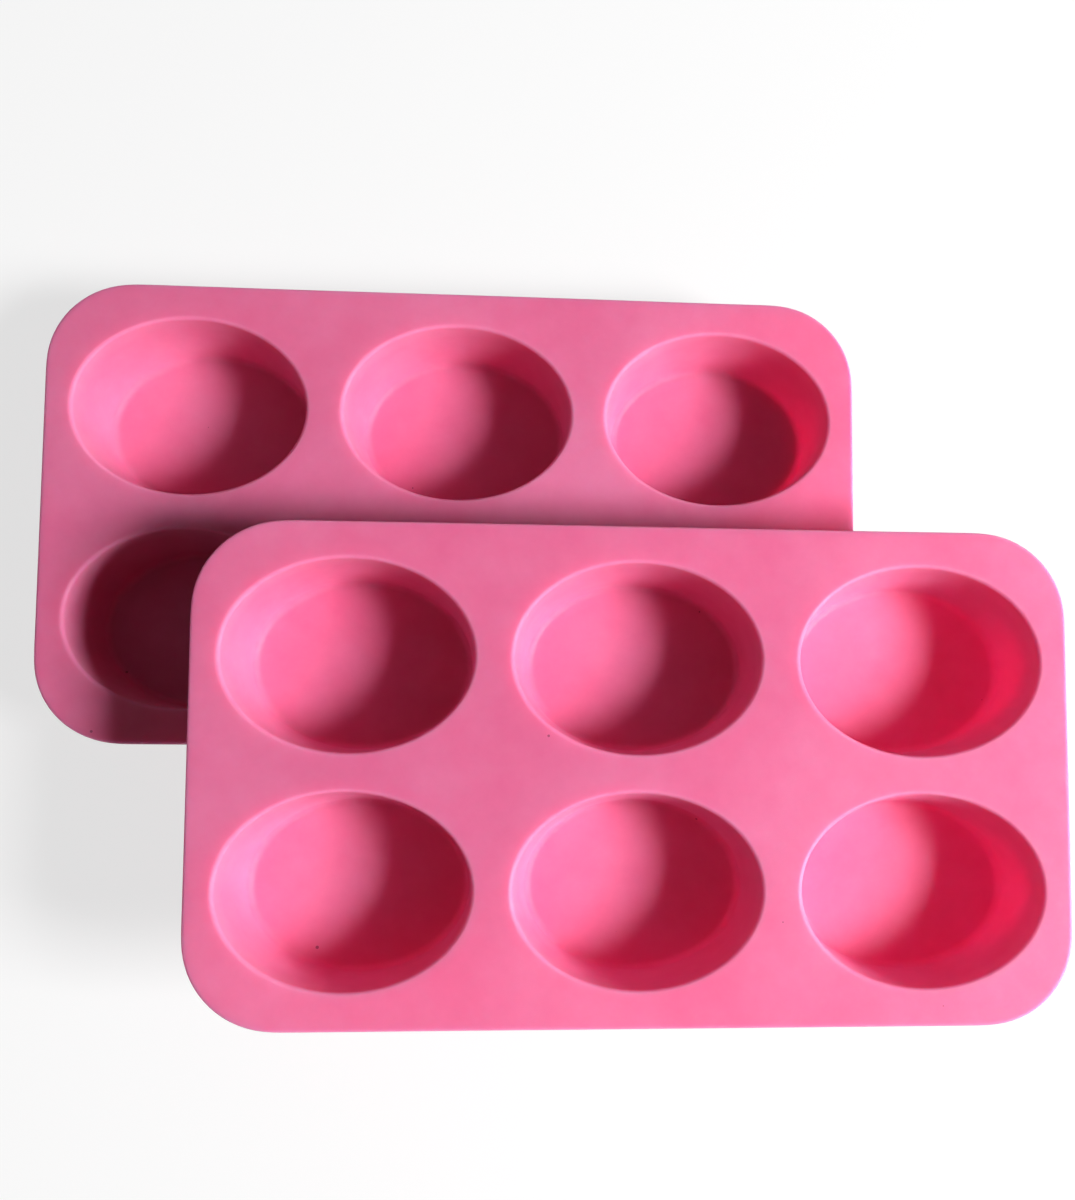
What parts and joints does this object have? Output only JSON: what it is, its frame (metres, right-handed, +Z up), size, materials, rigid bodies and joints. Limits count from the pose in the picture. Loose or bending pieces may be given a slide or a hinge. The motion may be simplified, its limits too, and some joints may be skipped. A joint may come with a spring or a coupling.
{
  "type": "soap mould",
  "caption": "Soft silicone sheet moulds with rows of open oval cups for casting bars of soap, one lying across the other.",
  "frame": {"origin": "centre of the pair's bounding box, at the height of the surface that the lower mould's cups stand on", "axes": "+Z up out of the cups' mouths, +X along the moulds' long sides towards the upper mould's side, +Y towards the rear, where the lower mould shows"},
  "size_m": [0.299, 0.217, 0.0565],
  "materials": {
    "lower_silicone": "satin pink silicone, slightly translucent",
    "upper_silicone": "satin pink silicone, slightly translucent"
  },
  "bodies": {
    "lower": {"lower_mould": "lower_silicone"},
    "upper": {"upper_mould": "upper_silicone"}
  },
  "joints": [
    {"name": "upper_lift", "type": "slide", "parent": "lower", "child": "upper", "axis": [0, 0, 1], "range_m": [0, 0.12]}
  ]
}
